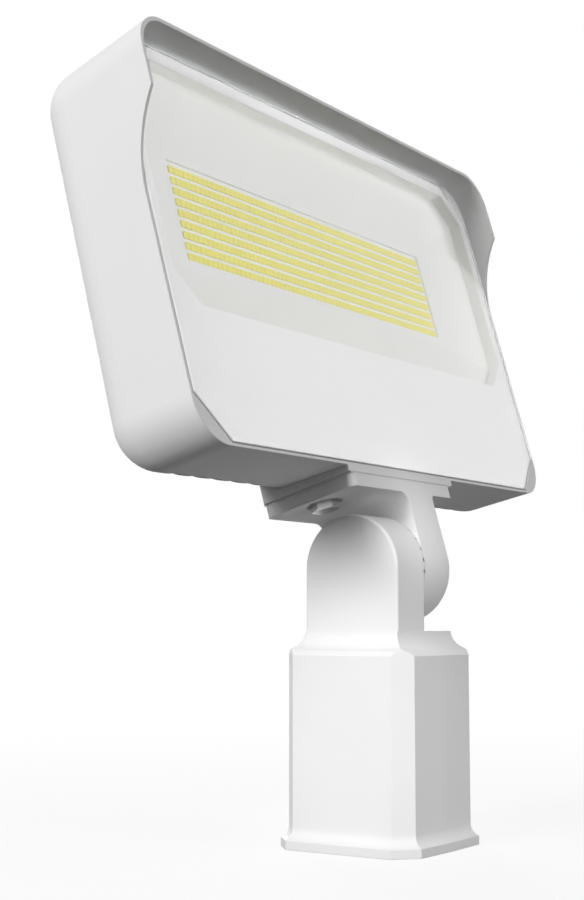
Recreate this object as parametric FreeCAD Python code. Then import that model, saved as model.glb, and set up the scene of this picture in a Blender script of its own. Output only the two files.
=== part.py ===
import FreeCAD
import Part
import math
import os

# A pole-top flood light. Millimetres, +Z up. The light faces -Y and +X is to the right seen from the front.
# The origin is on the pole axis, at the bottom face of the slip fitter.
# Head pieces are drawn upright with the middle of the glass plane at the origin and the depth along +Y.
# Knuckle pieces are drawn upright with the tilt axis at the origin. Both are then tilted back into place.

# Pose and clearances
TILT_BACK = 15.9
KNUCKLE_HEIGHT = 141.0
AXIS_BEHIND_GLASS = 27.6
SEAT_GAP = 0.05
THREAD_GAP = 0.06
SCREW_CLEARANCE = 0.2
BOLT_CLEARANCE = 0.4
THREAD_END_GAP = 0.5
CUT_PAST = 1.0

# Fasteners: thread radii and head sizes
M3 = 1.5
M4 = 2.0
M8 = 4.0
M10 = 5.0
PAN_HEAD_RADIUS_RATIO = 1.9
PAN_HEAD_HEIGHT_RATIO = 1.1
PAN_SLOT_RATIO = 0.45
PAN_SLOT_REACH_RATIO = 1.2
M8_HEAD_WIDTH = 13.0
M8_HEAD_THICKNESS = 5.3
M10_HEAD_WIDTH = 17.0
M10_HEAD_THICKNESS = 6.4
HEX_FACE_RATIO = 0.475

# Housing: half width, top and bottom where the rim is, and how they draw in per millimetre of depth
HOUSING_HALF_WIDTH = 172.4
HOUSING_TOP = 103.3
HOUSING_BOTTOM = -103.9
HOUSING_DEPTH = 55.8
SIDE_DRAFT = 0.027
TOP_DRAFT = 0.040
BOTTOM_DRAFT = 0.036
BACK_LEAN = 0.012
FRONT_CORNER_RADIUS = 20.5
BACK_CORNER_RADIUS = 24.0
BACK_FILLET = 20.0
RIM_WALL = 1.5
HOOD_REACH = 16.5
HOOD_KINK_HEIGHT = 63.0
HOOD_FOOT_HEIGHT = 16.0

# Glass, its print and its gasket
GLASS_GAP = 0.4
GLASS_THICKNESS = 3.2
GLASS_PROUD = 0.6
GLASS_CORNER = 21.3
GLASS_BEVEL = 0.35
PRINT_THICKNESS = 0.15
PRINT_INSET = 0.6
PRINT_BORDER = 7.4
WINDOW_BOTTOM = -35.2
WINDOW_CORNER = 16.5
GASKET_INSET = 0.8
GASKET_WIDTH = 2.8
GASKET_HEIGHT = 1.25

# Light engine
BOARD_FRONT = 20.5
BOARD_THICKNESS = 1.6
BOARD_MARGIN = 25.0
BOARD_SCREW_INSET = 5.0
BOARD_SCREW_LENGTH = 5.0
THERMAL_PAD_THICKNESS = 0.5
LED_ROWS = 9
LED_COLUMNS = 63
LED_ROW_PITCH = 5.9
LED_PITCH = 3.9
LED_WIDTH = 3.6
LED_HEIGHT = 3.9
LED_THICKNESS = 0.7
LED_FIELD_MIDDLE = 25.8
LED_SIDE_MARGIN = 2.0
LED_TOP_MARGIN = 2.75
LED_BOTTOM_MARGIN = 0.55

# Reflector tray
TRAY_WALL = 1.2
TRAY_LIP = 1.0
TRAY_ROOM = 0.6
TRAY_STEP_DEPTH = 9.9
TRAY_BEND = 0.66
TRAY_FLANGE = 2.5
TRAY_FLOOR_CORNER = 1.5
TRAY_OPENING_CORNER = 0.8
TAB_FROM_LEAD = 23.1
TAB_BELOW_WINDOW = 8.8
TAB_HALF_WIDTH = 6.0
TAB_FOOT = 5.0
TAB_SCREW_LENGTH = 6.0
BOSS_RADIUS = 4.0

# Driver chamber and cooling fins on the back
DRIVER_CHAMBER_INSET = 11.0
DRIVER_CHAMBER_DEPTH = 37.0
DRIVER_CHAMBER_CORNER = 6.0
DRIVER_CHAMBER_BELOW_TABS = 1.0
LIGHT_FLOOR_WALL = 4.5
DRIVER_FLOOR_WALL = 3.5
FIN_PITCH = 15.2
GROOVE_WIDTH = 11.0
GROOVE_MOUTH_BEVEL = 1.2
GROOVE_SIDE_MARGIN = 31.0
GROOVE_STEP_ABOVE_DRIVER = 8.0
GROOVE_STEP_BELOW_TOP = 19.3
GROOVE_END_ABOVE_PAD = 27.2

# Pad under the housing, the bracket bolted to it and the wire passage
PAD_HALF_WIDTH = 53.5
PAD_DROP = 3.3
PAD_RISE = 18.9
PAD_EDGE_RADIUS = 1.5
PAD_REAR_SETBACK = 0.9
PAD_THREAD_DEPTH = 8.5
BRACKET_GASKET_THICKNESS = 0.5
BRACKET_GASKET_INSET = 0.1
WIRE_X = 9.0
WIRE_RADIUS = 6.0
GROMMET_WALL = 2.0
GROMMET_LIP = 1.2
GROMMET_LIP_HEIGHT = 2.0
GROMMET_HOLE_RADIUS = 4.5
BRACKET_HALF_WIDTH = 51.5
BRACKET_UNDERSIDE = 33.6
BRACKET_THICKNESS = 6.7
BRACKET_FRONT_CORNER = 4.0
BRACKET_REAR_CORNER = 3.0
BRACKET_BOLT_X = 38.0
BRACKET_RECESS_DEPTH = 1.5
BRACKET_RECESS_ROOM = 2.0

# Knuckle
KNUCKLE_RADIUS = 27.3
ARM_OUTER_X = -28.0
ARM_EDGE = 1.5
EAR_OUTER_X = 27.0
EAR_BLEND_LARGE = 7.0
EAR_BLEND_SMALL = 2.5
TEETH = 28
TOOTH_BASE = 0.9
TOOTH_TIP = 0.05
TOOTH_LAND = 0.62
TOOTH_ROOT = 0.3
TOOTH_FILL = 0.92
KNUCKLE_CAVITY_RADIUS = 14.0
KNUCKLE_CAVITY_RIM = 2.0
KNUCKLE_END_WALL = 4.0
WASHER_RADIUS = 10.5
WASHER_THICKNESS = 2.0
SPRING_WASHER_RADIUS = 9.0
SPRING_WASHER_THICKNESS = 2.4
SPRING_WASHER_SLIT = 1.4
SPRING_WASHER_SLANT = 20.0
SLACK = 0.1

# Slip fitter
FITTER_HALF_WIDTH = 38.0
FITTER_CORNER = 9.3
FITTER_CROWN = 0.9
FITTER_FLANGE = 4.0
FLANGE_EDGE_HEIGHT = 4.5
FLANGE_FLARE_HEIGHT = 6.0
SHOULDER_BELOW_AXIS = 32.0
SHOULDER_BEVEL = 2.5
SOCKET_RADIUS = 31.0
SOCKET_DEPTH = 92.0
TENON_SCREW_RADIUS = 4.9
TENON_SCREW_LOWER_HEIGHT = 28.0
TENON_SCREW_UPPER_HEIGHT = 68.0
TENON_SCREW_CLEARANCE = 0.4
TENON_SCREW_POINT = 1.5
TENON_SCREW_HEAD_GAP = 8.0
TENON_SCREW_HEAD_WIDTH = 14.0
TENON_SCREW_HEAD_THICKNESS = 6.0

# Driver and its wiring, in the lower chamber
DRIVER_LENGTH = 128.0
DRIVER_ROOM = 3.0
DRIVER_FRONT = 9.0
DRIVER_WALL = 1.5
DRIVER_EAR = 11.0
DRIVER_EAR_HALF_HEIGHT = 6.0
DRIVER_SCREW_LENGTH = 3.8
DRIVER_BOARD_INSET = 4.0
DRIVER_BOARD_THICKNESS = 1.6
CORE_HALF_WIDTH = 14.0
CORE_HALF_HEIGHT = 9.0
CORE_DEPTH = 16.0
COIL_HALF_WIDTH = 9.0
COIL_OVERHANG = 2.0
COIL_ROUND = 3.0
CAPACITOR_RADIUS = 6.5
CAPACITOR_HEIGHT = 20.0
CAPACITOR_ROUND = 1.0
CAPACITOR_PITCH = 16.0
CAPACITOR_INSET = 22.0
BLOCK_WIDTH = 34.0
BLOCK_HEIGHT = 18.0
BLOCK_DEPTH = 16.0
BLOCK_FROM_DRIVER = 38.0
BLOCK_BELOW_CHAMBER_TOP = 8.0
BLOCK_BASE = 5.0
BLOCK_WAY_RADIUS = 1.6
BLOCK_WAY_DEPTH = 5.0
BLOCK_SCREW_LENGTH = 7.3
EARTH_SCREW_X = 95.0
EARTH_SCREW_LENGTH = 2.4
LEAD_RADIUS = 0.9
LEAD_BITE = 1.0
BOARD_LEAD_BITE = 2.0
BOARD_LEAD_INSET = 16.0
BOARD_LEAD_PITCH = 8.0
DRIVER_LEAD_PITCH = 5.5
DRIVER_LEAD_BITE = 5.0
FLOOR_THREAD_DEPTH = 2.8

# Sizes that follow from those above
CORNER_GROWTH = 2 - math.sqrt(2)
POCKET_HALF_WIDTH = HOUSING_HALF_WIDTH - RIM_WALL
POCKET_TOP = HOUSING_TOP - RIM_WALL
POCKET_BOTTOM = HOUSING_BOTTOM + RIM_WALL
GLASS_HALF_WIDTH = POCKET_HALF_WIDTH - GLASS_GAP
GLASS_TOP = POCKET_TOP - GLASS_GAP
GLASS_BOTTOM = POCKET_BOTTOM + GLASS_GAP
GLASS_BACK = GLASS_THICKNESS - GLASS_PROUD
PRINT_BACK = GLASS_BACK + PRINT_THICKNESS
LEDGE_DEPTH = PRINT_BACK + GASKET_HEIGHT
WINDOW_HALF_WIDTH = GLASS_HALF_WIDTH - PRINT_BORDER
WINDOW_TOP = GLASS_TOP - PRINT_BORDER
TRAY_GROWTH = TRAY_LIP + TRAY_WALL + TRAY_ROOM
LEDGE_WIDTH = GLASS_GAP + PRINT_BORDER - TRAY_GROWTH
CHAMBER_HALF_WIDTH = POCKET_HALF_WIDTH - LEDGE_WIDTH
CHAMBER_TOP = POCKET_TOP - LEDGE_WIDTH
CHAMBER_BOTTOM = POCKET_BOTTOM + LEDGE_WIDTH
CHAMBER_CORNER = WINDOW_CORNER + CORNER_GROWTH * TRAY_GROWTH
MOUNT_FLOOR = BOARD_FRONT + BOARD_THICKNESS + THERMAL_PAD_THICKNESS
LED_FIELD_HALF_WIDTH = ((LED_COLUMNS - 1) * LED_PITCH + LED_WIDTH) / 2
LED_FIELD_HALF_HEIGHT = ((LED_ROWS - 1) * LED_ROW_PITCH + LED_HEIGHT) / 2
OPENING_HALF_WIDTH = LED_FIELD_HALF_WIDTH + LED_SIDE_MARGIN
OPENING_TOP = LED_FIELD_MIDDLE + LED_FIELD_HALF_HEIGHT + LED_TOP_MARGIN
OPENING_BOTTOM = LED_FIELD_MIDDLE - LED_FIELD_HALF_HEIGHT - LED_BOTTOM_MARGIN
BOARD_HALF_WIDTH = OPENING_HALF_WIDTH + BOARD_MARGIN
BOARD_TOP = OPENING_TOP + BOARD_MARGIN
BOARD_BOTTOM = OPENING_BOTTOM - BOARD_MARGIN
TRAY_FLOOR = BOARD_FRONT - TRAY_WALL
TAB_Z = WINDOW_BOTTOM - TAB_BELOW_WINDOW
TAB_END = TAB_Z - TAB_FOOT
DRIVER_CHAMBER_HALF_WIDTH = CHAMBER_HALF_WIDTH - DRIVER_CHAMBER_INSET
DRIVER_CHAMBER_TOP = TAB_END - DRIVER_CHAMBER_BELOW_TABS
GROOVE_FLOOR_UPPER = MOUNT_FLOOR + LIGHT_FLOOR_WALL
GROOVE_FLOOR_LOWER = DRIVER_CHAMBER_DEPTH + DRIVER_FLOOR_WALL
GROOVE_STEP_BOTTOM = DRIVER_CHAMBER_TOP + GROOVE_STEP_ABOVE_DRIVER
GROOVE_STEP_TOP = HOUSING_TOP - GROOVE_STEP_BELOW_TOP
GROOVES_EACH_SIDE = int((HOUSING_HALF_WIDTH - GROOVE_SIDE_MARGIN) / FIN_PITCH)
PAD_BOTTOM = HOUSING_BOTTOM - PAD_DROP
PAD_TOP = HOUSING_BOTTOM + PAD_RISE
PAD_REAR = AXIS_BEHIND_GLASS + KNUCKLE_RADIUS - PAD_REAR_SETBACK
GROOVE_END_OVER_PAD = PAD_BOTTOM + GROOVE_END_ABOVE_PAD
GROMMET_RADIUS = WIRE_RADIUS + GROMMET_WALL
BRACKET_FACE = BRACKET_UNDERSIDE + BRACKET_THICKNESS
PAD_FACE = BRACKET_FACE + BRACKET_GASKET_THICKNESS
AXIS_BELOW_GLASS_MIDDLE = PAD_FACE - PAD_BOTTOM
BRACKET_HEAD_TOP = BRACKET_UNDERSIDE + BRACKET_RECESS_DEPTH
BRACKET_RECESS_RADIUS = M8_HEAD_WIDTH / math.sqrt(3) + BRACKET_RECESS_ROOM
TOOTH_INNER_RADIUS = KNUCKLE_CAVITY_RADIUS + KNUCKLE_CAVITY_RIM
TOOTH_OUTER_RADIUS = KNUCKLE_RADIUS * math.cos(math.pi / TEETH)
KNUCKLE_CAVITY_DEPTH = WIRE_X + WIRE_RADIUS
KNUCKLE_BOLT_END = ARM_OUTER_X + KNUCKLE_END_WALL
WASHER_FACE = EAR_OUTER_X + SLACK
SPRING_FACE = WASHER_FACE + WASHER_THICKNESS
KNUCKLE_HEAD_FACE = SPRING_FACE + SPRING_WASHER_THICKNESS
FLANGE_FLARE_TOP = FLANGE_EDGE_HEIGHT + FLANGE_FLARE_HEIGHT
SHOULDER_TOP = KNUCKLE_HEIGHT - SHOULDER_BELOW_AXIS
SHOULDER_RADIUS = FITTER_HALF_WIDTH + ARM_OUTER_X
BEVEL_TOP = SHOULDER_TOP - math.sqrt(SHOULDER_RADIUS ** 2 - SHOULDER_BEVEL ** 2)
TUBE_TOP = BEVEL_TOP - SHOULDER_BEVEL
SIDE_REACH = 3 * FITTER_HALF_WIDTH
TENON_SCREW_TIP = SOCKET_RADIUS + TENON_SCREW_CLEARANCE
DRIVER_LEFT = DRIVER_EAR + DRIVER_ROOM - DRIVER_CHAMBER_HALF_WIDTH
DRIVER_RIGHT = DRIVER_LEFT + DRIVER_LENGTH
TAB_X = TAB_FROM_LEAD + BOARD_LEAD_INSET + BOARD_LEAD_PITCH - DRIVER_RIGHT
DRIVER_TOP = DRIVER_CHAMBER_TOP - DRIVER_ROOM
DRIVER_BOTTOM = CHAMBER_BOTTOM + DRIVER_ROOM
DRIVER_MIDDLE = (DRIVER_TOP + DRIVER_BOTTOM) / 2
DRIVER_BOARD_BACK = DRIVER_CHAMBER_DEPTH - DRIVER_WALL
DRIVER_BOARD_FRONT = DRIVER_BOARD_BACK - DRIVER_BOARD_THICKNESS
BLOCK_LEFT = DRIVER_RIGHT + BLOCK_FROM_DRIVER
BLOCK_RIGHT = BLOCK_LEFT + BLOCK_WIDTH
BLOCK_TOP = DRIVER_CHAMBER_TOP - BLOCK_BELOW_CHAMBER_TOP
BLOCK_BOTTOM = BLOCK_TOP - BLOCK_HEIGHT
BLOCK_MIDDLE_X = (BLOCK_LEFT + BLOCK_RIGHT) / 2
BLOCK_MIDDLE_Z = (BLOCK_TOP + BLOCK_BOTTOM) / 2
BLOCK_FRONT = DRIVER_CHAMBER_DEPTH - BLOCK_DEPTH

Vec = FreeCAD.Vector


def box(x, y, z):
    """A block between the low and high values of each axis."""
    return Part.makeBox(x[1] - x[0], y[1] - y[0], z[1] - z[0], Vec(x[0], y[0], z[0]))


def rod(radius, start, end):
    """A round bar from one point to another."""
    way = Vec(*end) - Vec(*start)
    return Part.makeCylinder(radius, way.Length, Vec(*start), way)


def ring(outer, inner, start, end):
    return rod(outer, start, end).cut(rod(inner, start, end))


def hexagon_bar(across_flats, start, end):
    """A six-sided bar with one flat facing up or to the side."""
    way = Vec(*end) - Vec(*start)
    radius = across_flats / math.sqrt(3)
    side = way.cross(Vec(0, 1, 0)) if abs(way.y) < 0.5 * way.Length else way.cross(Vec(1, 0, 0))
    side.normalize()
    other = way.cross(side)
    other.normalize()
    corners = []
    for k in range(7):
        angle = math.radians(60 * k)
        corners.append(Vec(*start) + side * (radius * math.cos(angle)) + other * (radius * math.sin(angle)))
    return Part.Face(Part.makePolygon(corners)).extrude(way)


def hex_head(across_flats, seat, end):
    """A bolt head with the corners of its outer face chamfered at 30 degrees."""
    way = Vec(*end) - Vec(*seat)
    face_radius = HEX_FACE_RATIO * across_flats
    seat_radius = face_radius + way.Length * math.sqrt(3)
    return hexagon_bar(across_flats, seat, end).common(
        Part.makeCone(seat_radius, face_radius, way.Length, Vec(*seat), way))


def octagon(half_width, bottom, top, corner, depth):
    """A rectangle with cut corners, standing in a plane of constant depth."""
    points = [
        (-half_width + corner, bottom), (half_width - corner, bottom),
        (half_width, bottom + corner), (half_width, top - corner),
        (half_width - corner, top), (-half_width + corner, top),
        (-half_width, top - corner), (-half_width, bottom + corner),
    ]
    corners = [Vec(x, depth, z) for x, z in points]
    return Part.makePolygon(corners + corners[:1])


def octagon_plate(half_width, bottom, top, corner, front, back):
    face = Part.Face(octagon(half_width, bottom, top, corner, front))
    return face.extrude(Vec(0, back - front, 0))


def rounded_outline(half_width, bottom, top, radius, depth, lean=0.0):
    """A rectangle with round corners. Lean brings the top of its plane forward."""
    def at(x, z):
        return Vec(x, depth - lean * z, z)

    def corner(x, z, side_x, side_z, swap):
        diagonal = radius * math.sqrt(0.5)
        ends = [at(x, z + side_z * radius), at(x + side_x * radius, z)]
        if swap:
            ends.reverse()
        return Part.Arc(ends[0], at(x + side_x * diagonal, z + side_z * diagonal), ends[1]).toShape()

    left, right = -half_width + radius, half_width - radius
    low, high = bottom + radius, top - radius
    edges = [
        Part.makeLine(at(left, bottom), at(right, bottom)),
        corner(right, low, 1, -1, False),
        Part.makeLine(at(half_width, low), at(half_width, high)),
        corner(right, high, 1, 1, True),
        Part.makeLine(at(right, top), at(left, top)),
        corner(left, high, -1, 1, False),
        Part.makeLine(at(-half_width, high), at(-half_width, low)),
        corner(left, low, -1, -1, True),
    ]
    return Part.Wire(edges)


def place_knuckle(shape):
    """Stand a knuckle piece on its axis and tilt it back."""
    shape.translate(Vec(0, 0, KNUCKLE_HEIGHT))
    shape.rotate(Vec(0, 0, KNUCKLE_HEIGHT), Vec(1, 0, 0), -TILT_BACK)
    return shape


def place_head(shape):
    shape.translate(Vec(0, -AXIS_BEHIND_GLASS, AXIS_BELOW_GLASS_MIDDLE))
    return place_knuckle(shape)


def pan_screw(x, z, seat, length, radius):
    """A pan-head screw driven towards the back, its head on the seat, with a cross slot in the head."""
    head_height = PAN_HEAD_HEIGHT_RATIO * radius
    front = seat - head_height
    half_slot = PAN_SLOT_RATIO * radius / 2
    reach = PAN_SLOT_REACH_RATIO * radius
    screw = rod(PAN_HEAD_RADIUS_RATIO * radius, (x, front, z), (x, seat, z))
    screw = screw.fuse(rod(radius, (x, seat, z), (x, seat + length, z)))
    slot_depth = (front - CUT_PAST, front + head_height / 2)
    screw = screw.cut(box((x - reach, x + reach), slot_depth, (z - half_slot, z + half_slot)))
    return screw.cut(box((x - half_slot, x + half_slot), slot_depth, (z - reach, z + reach)))


def thread_hole(x, z, front, depth, radius):
    """A threaded hole that runs back from a face."""
    return rod(radius + THREAD_GAP, (x, front - CUT_PAST, z), (x, front + depth, z))


def clearance_hole(x, z, front, back, radius):
    return rod(radius + SCREW_CLEARANCE, (x, front - CUT_PAST, z), (x, back + CUT_PAST, z))


# Housing

def housing_form():
    """The tapered outside with its rounded back, as deep as the hood reaches."""
    front = rounded_outline(
        HOUSING_HALF_WIDTH + SIDE_DRAFT * HOOD_REACH,
        HOUSING_BOTTOM - BOTTOM_DRAFT * HOOD_REACH,
        HOUSING_TOP + TOP_DRAFT * HOOD_REACH,
        FRONT_CORNER_RADIUS, -HOOD_REACH)
    back = rounded_outline(
        HOUSING_HALF_WIDTH - SIDE_DRAFT * HOUSING_DEPTH,
        HOUSING_BOTTOM + BOTTOM_DRAFT * HOUSING_DEPTH,
        HOUSING_TOP - TOP_DRAFT * HOUSING_DEPTH,
        BACK_CORNER_RADIUS, HOUSING_DEPTH, BACK_LEAN)
    form = Part.makeLoft([front, back], True, True)
    rear = [e for e in form.Edges if min(v.Point.y for v in e.Vertexes) > HOUSING_DEPTH / 2]
    return form.makeFillet(BACK_FILLET, rear)


def hood_cutter():
    """What is cut away in front of the rim below the hood, with the hollow curve of the hood's cheeks."""
    rise = HOOD_KINK_HEIGHT - HOOD_FOOT_HEIGHT
    radius = (rise ** 2 + HOOD_REACH ** 2) / (2 * HOOD_REACH)
    half_angle = math.asin(rise / radius) / 2
    side = -HOUSING_HALF_WIDTH - SIDE_DRAFT * HOOD_REACH - CUT_PAST
    front = -HOOD_REACH - CUT_PAST
    low = HOUSING_BOTTOM - BOTTOM_DRAFT * HOOD_REACH - CUT_PAST
    foot = Vec(side, 0, HOOD_FOOT_HEIGHT)
    middle = Vec(side, radius * (math.cos(half_angle) - 1), HOOD_FOOT_HEIGHT + radius * math.sin(half_angle))
    kink = Vec(side, -HOOD_REACH, HOOD_KINK_HEIGHT)
    kink_out = Vec(side, front, HOOD_KINK_HEIGHT)
    low_out = Vec(side, front, low)
    low_in = Vec(side, 0, low)
    outline = Part.Wire([
        Part.makeLine(low_in, foot), Part.Arc(foot, middle, kink).toShape(), Part.makeLine(kink, kink_out),
        Part.makeLine(kink_out, low_out), Part.makeLine(low_out, low_in)])
    return Part.Face(outline).extrude(Vec(-2 * side, 0, 0))


def hood_inside():
    outline = rounded_outline(
        POCKET_HALF_WIDTH, POCKET_BOTTOM, POCKET_TOP, FRONT_CORNER_RADIUS - RIM_WALL, -HOOD_REACH - CUT_PAST)
    return Part.Face(outline).extrude(Vec(0, HOOD_REACH + CUT_PAST, 0))


def glass_pocket():
    return octagon_plate(
        POCKET_HALF_WIDTH, POCKET_BOTTOM, POCKET_TOP, GLASS_CORNER, -CUT_PAST, LEDGE_DEPTH)


def chambers():
    upper = octagon_plate(CHAMBER_HALF_WIDTH, CHAMBER_BOTTOM, CHAMBER_TOP, CHAMBER_CORNER, 0, MOUNT_FLOOR)
    lower = box(
        (-DRIVER_CHAMBER_HALF_WIDTH, DRIVER_CHAMBER_HALF_WIDTH), (0, DRIVER_CHAMBER_DEPTH),
        (CHAMBER_BOTTOM, DRIVER_CHAMBER_TOP))
    upright = [e for e in lower.Edges if abs(e.tangentAt(e.FirstParameter).y) > 0.9]
    return upper.fuse(lower.makeFillet(DRIVER_CHAMBER_CORNER, upright))


def groove_mouth(x, low, high):
    """The bevel along both edges of a groove, which follows the lean of the back."""
    back = HOUSING_DEPTH + BACK_LEAN * (HOUSING_TOP - low)
    near = GROOVE_WIDTH / 2
    far = near + GROOVE_MOUTH_BEVEL + CUT_PAST
    points = [
        (-near, back - GROOVE_MOUTH_BEVEL), (near, back - GROOVE_MOUTH_BEVEL),
        (far, back + CUT_PAST), (-far, back + CUT_PAST)]
    corners = [Vec(x + across, y, low) for across, y in points]
    rise = high - low
    return Part.Face(Part.makePolygon(corners + corners[:1])).extrude(Vec(0, -BACK_LEAN * rise, rise))


def groove(x, low_end):
    """One cooling groove, deep behind the light engine and shallow at both ends, with 45 degree steps."""
    back = HOUSING_DEPTH + BACK_LEAN * (HOUSING_TOP - HOUSING_BOTTOM) + CUT_PAST
    high = HOUSING_TOP + CUT_PAST
    half_step = (GROOVE_FLOOR_LOWER - GROOVE_FLOOR_UPPER) / 2
    left = x - GROOVE_WIDTH / 2
    points = [
        (back, low_end), (GROOVE_FLOOR_LOWER, low_end),
        (GROOVE_FLOOR_LOWER, GROOVE_STEP_BOTTOM - half_step),
        (GROOVE_FLOOR_UPPER, GROOVE_STEP_BOTTOM + half_step),
        (GROOVE_FLOOR_UPPER, GROOVE_STEP_TOP - half_step),
        (GROOVE_FLOOR_LOWER, GROOVE_STEP_TOP + half_step),
        (GROOVE_FLOOR_LOWER, high), (back, high),
    ]
    corners = [Vec(left, y, z) for y, z in points]
    slot = Part.Face(Part.makePolygon(corners + corners[:1])).extrude(Vec(GROOVE_WIDTH, 0, 0))
    return slot.fuse(groove_mouth(x, low_end, high))


def grooves():
    cutters = []
    for k in range(-GROOVES_EACH_SIDE, GROOVES_EACH_SIDE + 1):
        x = k * FIN_PITCH
        over_pad = abs(x) < PAD_HALF_WIDTH + GROOVE_WIDTH
        cutters.append(groove(x, GROOVE_END_OVER_PAD if over_pad else HOUSING_BOTTOM - CUT_PAST))
    return cutters


def pad():
    block = box((-PAD_HALF_WIDTH, PAD_HALF_WIDTH), (0, PAD_REAR), (PAD_BOTTOM, PAD_TOP))
    rear = [e for e in block.Edges if min(v.Point.y for v in e.Vertexes) > 1 and e.BoundBox.ZLength > 1]
    return block.makeFillet(PAD_EDGE_RADIUS, rear)


def board_screw_places():
    middle = (BOARD_TOP + BOARD_BOTTOM) / 2
    reach = (BOARD_TOP - BOARD_BOTTOM) / 2 - BOARD_SCREW_INSET
    side = BOARD_HALF_WIDTH - BOARD_SCREW_INSET
    places = [(x, middle + step * reach) for x in (-side, side) for step in (-1, 0, 1)]
    return places + [(0, middle - reach), (0, middle + reach)]


def tab_places():
    return [(-TAB_X, TAB_Z), (TAB_X, TAB_Z)]


def driver_screw_places():
    return [(DRIVER_LEFT - DRIVER_EAR / 2, DRIVER_MIDDLE), (DRIVER_RIGHT + DRIVER_EAR / 2, DRIVER_MIDDLE)]


def bosses():
    """Short posts that hold the reflector's tabs level with the board's front."""
    return [rod(BOSS_RADIUS, (x, BOARD_FRONT, z), (x, MOUNT_FLOOR + CUT_PAST, z)) for x, z in tab_places()]


def housing_holes():
    holes = []
    thread_end = BOARD_FRONT + BOARD_SCREW_LENGTH + THREAD_END_GAP
    for x, z in board_screw_places():
        holes.append(thread_hole(x, z, MOUNT_FLOOR, thread_end - MOUNT_FLOOR, M3))
    for x, z in tab_places():
        holes.append(thread_hole(x, z, BOARD_FRONT, TAB_SCREW_LENGTH - TRAY_WALL + THREAD_END_GAP, M3))
    for x, z in driver_screw_places() + [(BLOCK_MIDDLE_X, BLOCK_MIDDLE_Z), (EARTH_SCREW_X, BLOCK_MIDDLE_Z)]:
        holes.append(thread_hole(x, z, DRIVER_CHAMBER_DEPTH, FLOOR_THREAD_DEPTH, M4))
    below = PAD_BOTTOM - CUT_PAST
    for x in (-BRACKET_BOLT_X, BRACKET_BOLT_X):
        top = (x, AXIS_BEHIND_GLASS, PAD_BOTTOM + PAD_THREAD_DEPTH)
        holes.append(rod(M8 + THREAD_GAP, (x, AXIS_BEHIND_GLASS, below), top))
    wire_top = (WIRE_X, AXIS_BEHIND_GLASS, CHAMBER_BOTTOM + CUT_PAST)
    holes.append(rod(GROMMET_RADIUS, (WIRE_X, AXIS_BEHIND_GLASS, below), wire_top))
    return holes


def housing():
    body = housing_form().cut(hood_cutter())
    body = body.fuse(pad())
    for cutter in (hood_inside(), glass_pocket(), chambers(), Part.makeCompound(grooves())):
        body = body.cut(cutter)
    for boss in bosses():
        body = body.fuse(boss)
    return body.cut(Part.makeCompound(housing_holes()))


# Front glass and its seal

def glass_outline_plate(inset, front, back):
    return octagon_plate(
        GLASS_HALF_WIDTH - inset, GLASS_BOTTOM + inset, GLASS_TOP - inset,
        GLASS_CORNER - CORNER_GROWTH * inset, front, back)


def lens_glass():
    plate = glass_outline_plate(0, -GLASS_PROUD, GLASS_BACK)
    front_edges = [e for e in plate.Edges if max(v.Point.y for v in e.Vertexes) < 0]
    return plate.makeChamfer(GLASS_BEVEL, front_edges)


def lens_print():
    """The white print behind the glass, with the clear window left out of it."""
    sheet = glass_outline_plate(PRINT_INSET, GLASS_BACK, PRINT_BACK)
    return sheet.cut(octagon_plate(
        WINDOW_HALF_WIDTH, WINDOW_BOTTOM, WINDOW_TOP, WINDOW_CORNER,
        GLASS_BACK - CUT_PAST, PRINT_BACK + CUT_PAST))


def lens_gasket():
    outer = glass_outline_plate(GASKET_INSET, PRINT_BACK, LEDGE_DEPTH)
    inside = glass_outline_plate(GASKET_INSET + GASKET_WIDTH, PRINT_BACK - CUT_PAST, LEDGE_DEPTH + CUT_PAST)
    return outer.cut(inside)


# Light engine

def tray_form(grow, back):
    """The bowl of the reflector: a straight step behind the window, then hollow walls to the board."""
    out = TRAY_LIP + grow
    half, low, high = WINDOW_HALF_WIDTH + out, WINDOW_BOTTOM - out, WINDOW_TOP + out
    corner = WINDOW_CORNER + CORNER_GROWTH * out
    floor_out = TRAY_FLANGE + grow
    floor_half = OPENING_HALF_WIDTH + floor_out
    floor_low, floor_high = OPENING_BOTTOM - floor_out, OPENING_TOP + floor_out
    mid_half, mid_low, mid_high = (half + floor_half) / 2, (low + floor_low) / 2, (high + floor_high) / 2
    step = TRAY_STEP_DEPTH + back - TRAY_FLOOR
    mid = step + TRAY_BEND * (back - step)
    collar = octagon_plate(half, low, high, corner, PRINT_BACK, step)
    bowl = Part.makeLoft([
        octagon(half, low, high, corner, step),
        octagon(mid_half, mid_low, mid_high, corner / 2, mid),
        octagon(floor_half, floor_low, floor_high, TRAY_FLOOR_CORNER, back)], True, False)
    return collar.fuse(bowl)


def reflector():
    tray = tray_form(TRAY_WALL, BOARD_FRONT).cut(tray_form(0, TRAY_FLOOR))
    tray = tray.cut(octagon_plate(
        OPENING_HALF_WIDTH, OPENING_BOTTOM, OPENING_TOP, TRAY_OPENING_CORNER,
        TRAY_FLOOR - CUT_PAST, BOARD_FRONT + CUT_PAST))
    for x, z in tab_places():
        tab = box(
            (x - TAB_HALF_WIDTH, x + TAB_HALF_WIDTH), (TRAY_FLOOR, BOARD_FRONT),
            (TAB_END, OPENING_BOTTOM - TRAY_FLANGE))
        tray = tray.fuse(tab).cut(clearance_hole(x, z, TRAY_FLOOR, BOARD_FRONT, M3))
    return tray.removeSplitter()


def reflector_screws():
    return Part.makeCompound([pan_screw(x, z, TRAY_FLOOR, TAB_SCREW_LENGTH, M3) for x, z in tab_places()])


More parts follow.
